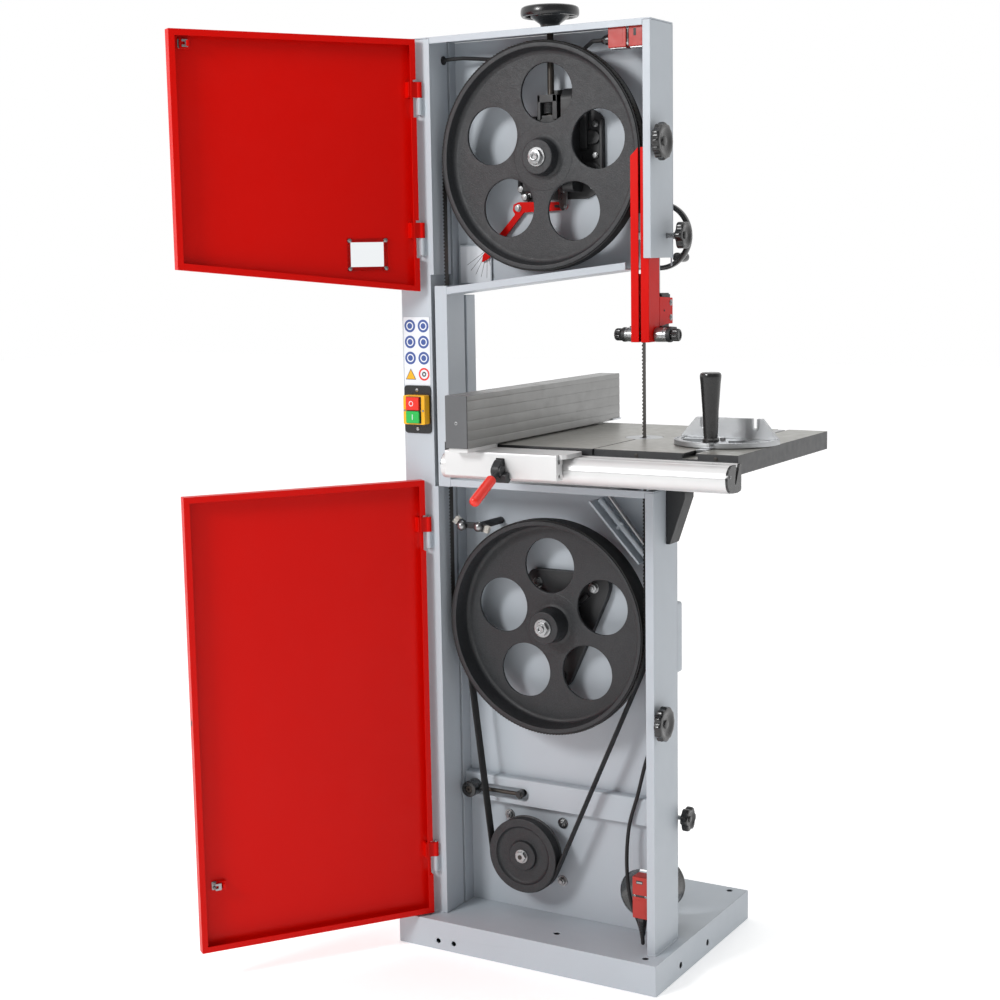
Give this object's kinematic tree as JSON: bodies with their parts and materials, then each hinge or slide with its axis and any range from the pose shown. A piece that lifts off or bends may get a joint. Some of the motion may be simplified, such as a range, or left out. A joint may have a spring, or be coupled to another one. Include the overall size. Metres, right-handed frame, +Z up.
{
  "type": "band saw",
  "caption": "Floor-standing woodworking band saw with steel frame, hinged wheel doors, tilting cast table, rip fence, mitre gauge and adjustable blade guide.",
  "frame": {"origin": "centre of the underside of the base plinth", "axes": "+X to the right seen from the front, from the spine to the table's free side; +Y to the back; +Z up"},
  "size_m": [0.9784, 0.7892, 1.748],
  "materials": {
    "frame_paint": "light blue-grey powder coat, semi-gloss",
    "red_paint": "glossy red paint",
    "wheel_iron": "charcoal powder coat, fine texture",
    "table_iron": "ground top, painted dark edges",
    "black_iron": "black satin paint",
    "steel": "ground or zinc plated",
    "aluminium": "natural anodised, brushed",
    "black_plastic": "moulded, glossy",
    "yellow_plastic": "moulded, satin",
    "red_plastic": "moulded, glossy",
    "green_plastic": "moulded, glossy",
    "brick_plastic": "moulded, satin",
    "rubber": "matt",
    "clear": "clear plastic pane"
  },
  "bodies": {
    "frame": {"base_plinth": "frame_paint", "spine_column": "frame_paint", "throat_cover": "frame_paint", "lower_back_panel": "frame_paint", "lower_right_post": "frame_paint", "lower_top_wall": "frame_paint", "crossbar": "frame_paint", "rear_cover": "frame_paint", "blade_deflector": "frame_paint", "upper_back_panel": "frame_paint", "upper_right_post": "frame_paint", "upper_top_wall": "frame_paint", "upper_belly_wall": "frame_paint", "motor": "frame_paint", "dust_port": "black_plastic", "lower_axle": "steel", "blade": "steel", "drive_belt": "rubber", "upper_cable": "rubber", "lower_cable": "rubber", "upper_interlock": "brick_plastic", "lower_interlock": "brick_plastic", "brush_bracket": "black_plastic", "switch_box": "yellow_plastic", "guide_post_holder": "wheel_iron", "tension_bracket": "black_iron", "trunnion_bracket": "black_iron"},
    "upper_door": {"upper_door": "red_paint", "window_pane": "clear"},
    "lower_door": {"lower_door": "red_paint"},
    "upper_door_knob": {"upper_door_knob": "black_plastic"},
    "lower_door_knob": {"lower_door_knob": "black_plastic"},
    "motor_lock_knob": {"motor_lock_knob": "black_plastic"},
    "upper_axle_carriage": {"wheel_carriage": "steel"},
    "upper_wheel": {"upper_wheel": "wheel_iron", "upper_tyre": "rubber"},
    "lower_wheel": {"lower_wheel": "wheel_iron", "lower_tyre": "rubber"},
    "motor_pulley": {"motor_pulley": "wheel_iron"},
    "tension_handwheel": {"tension_handwheel": "black_plastic"},
    "tension_pointer": {"tension_pointer": "red_paint"},
    "guide": {"blade_guard": "red_paint", "guide_post": "steel", "blade_guides": "red_paint"},
    "guide_handwheel": {"guide_handwheel": "black_plastic"},
    "guide_lock_knob": {"guide_lock_knob": "black_plastic"},
    "table": {"table_top": "table_iron", "table_insert": "aluminium", "front_rail": "aluminium", "table_trunnion": "black_iron"},
    "fence": {"rip_fence": "aluminium", "fence_carriage": "aluminium"},
    "fence_lever": {"fence_lever": "red_plastic"},
    "mitre_bar": {"mitre_bar": "steel"},
    "mitre_head": {"mitre_head": "aluminium"},
    "mitre_handle": {"mitre_handle": "black_plastic"},
    "stop_button": {"stop_button": "red_plastic"},
    "start_button": {"start_button": "green_plastic"},
    "belt_lever": {"belt_lever": "black_plastic"}
  },
  "joints": [
    {"name": "upper_door_hinge", "type": "hinge", "parent": "frame", "child": "upper_door", "pos_m": [-0.208, -0.1795, 1.45], "axis": [0, 0, 1], "range_deg": [-15, 122]},
    {"name": "lower_door_hinge", "type": "hinge", "parent": "frame", "child": "lower_door", "pos_m": [-0.208, -0.1795, 0.5], "axis": [0, 0, 1], "range_deg": [-12, 125.4]},
    {"name": "upper_door_knob_turn", "type": "hinge", "parent": "frame", "child": "upper_door_knob", "pos_m": [0.265, -0.16, 1.5024], "axis": [1, 0, 0], "range_deg": [-360, 0]},
    {"name": "lower_door_knob_turn", "type": "hinge", "parent": "frame", "child": "lower_door_knob", "pos_m": [0.265, -0.16, 0.4885], "axis": [1, 0, 0], "range_deg": [-360, 0]},
    {"name": "motor_lock_knob_turn", "type": "hinge", "parent": "frame", "child": "motor_lock_knob", "pos_m": [0.26, -0.058, 0.284], "axis": [1, 0, 0], "range_deg": [-360, 0]},
    {"name": "carriage_slide", "type": "slide", "parent": "frame", "child": "upper_axle_carriage", "axis": [0, 0, 1], "range_m": [-0.012, 0]},
    {"name": "tension_screw_turn", "type": "hinge", "parent": "frame", "child": "tension_handwheel", "pos_m": [0.0264, -0.11, 1.72], "axis": [0, 0, 1], "range_deg": [-1090, 0]},
    {"name": "tension_pointer_turn", "type": "hinge", "parent": "frame", "child": "tension_pointer", "pos_m": [-0.053, -0.0925, 1.401], "axis": [0, 1, 0], "range_deg": [0, 7]},
    {"name": "lower_wheel_spin", "type": "hinge", "parent": "frame", "child": "lower_wheel", "pos_m": [0.0264, -0.148, 0.6396], "axis": [0, 1, 0], "continuous": true},
    {"name": "upper_wheel_spin", "type": "hinge", "parent": "upper_axle_carriage", "child": "upper_wheel", "pos_m": [0.0264, -0.148, 1.4862], "axis": [0, 1, 0], "continuous": true},
    {"name": "motor_pulley_spin", "type": "hinge", "parent": "frame", "child": "motor_pulley", "pos_m": [-0.041, -0.1235, 0.1865], "axis": [0, 1, 0], "continuous": true},
    {"name": "guide_slide", "type": "slide", "parent": "frame", "child": "guide", "axis": [0, 0, 1], "range_m": [-0.15, 0.09]},
    {"name": "guide_handwheel_turn", "type": "hinge", "parent": "frame", "child": "guide_handwheel", "pos_m": [0.2024, -0.031, 1.345], "axis": [0, -1, 0], "range_deg": [-851, 511]},
    {"name": "guide_lock_turn", "type": "hinge", "parent": "frame", "child": "guide_lock_knob", "pos_m": [0.28, -0.108, 1.345], "axis": [1, 0, 0], "range_deg": [-180, 0]},
    {"name": "table_tilt", "type": "hinge", "parent": "frame", "child": "table", "pos_m": [0.2266, -0.1, 0.997], "axis": [0, 1, 0], "range_deg": [0, 45]},
    {"name": "fence_slide", "type": "slide", "parent": "table", "child": "fence", "axis": [-1, 0, 0], "range_m": [-0.116, 0]},
    {"name": "fence_lever_turn", "type": "hinge", "parent": "fence", "child": "fence_lever", "pos_m": [0.096, -0.433, 0.964], "axis": [-1, 0, 0], "range_deg": [0, 70]},
    {"name": "mitre_slide", "type": "slide", "parent": "table", "child": "mitre_bar", "axis": [0, 1, 0], "range_m": [-0.1, 0.2]},
    {"name": "mitre_swivel", "type": "hinge", "parent": "mitre_bar", "child": "mitre_head", "pos_m": [0.401, -0.19, 1], "axis": [0, 0, 1], "range_deg": [-45, 45]},
    {"name": "mitre_handle_turn", "type": "hinge", "parent": "mitre_bar", "child": "mitre_handle", "pos_m": [0.401, -0.262, 1.05], "axis": [0, 0, 1], "range_deg": [-180, 0]},
    {"name": "stop_button_press", "type": "slide", "parent": "frame", "child": "stop_button", "axis": [0, 1, 0], "range_m": [0, 0.003], "stiffness_N_per_m": 600, "springref_m": -0.001},
    {"name": "start_button_press", "type": "slide", "parent": "frame", "child": "start_button", "axis": [0, 1, 0], "range_m": [0, 0.003], "stiffness_N_per_m": 600, "springref_m": -0.001},
    {"name": "belt_lever_turn", "type": "hinge", "parent": "frame", "child": "belt_lever", "pos_m": [-0.062, -0.103, 0.295], "axis": [0, 1, 0], "range_deg": [-15, 25]}
  ],
  "couplings": [
    {"joint": "tension_screw_turn", "follows": "carriage_slide", "rad_per_m": 1570.8},
    {"joint": "tension_pointer_turn", "follows": "carriage_slide", "rad_per_m": -9.8},
    {"joint": "upper_wheel_spin", "follows": "lower_wheel_spin", "ratio": 1},
    {"joint": "motor_pulley_spin", "follows": "lower_wheel_spin", "ratio": 2.7826},
    {"joint": "guide_handwheel_turn", "follows": "guide_slide", "rad_per_m": 99.01}
  ]
}
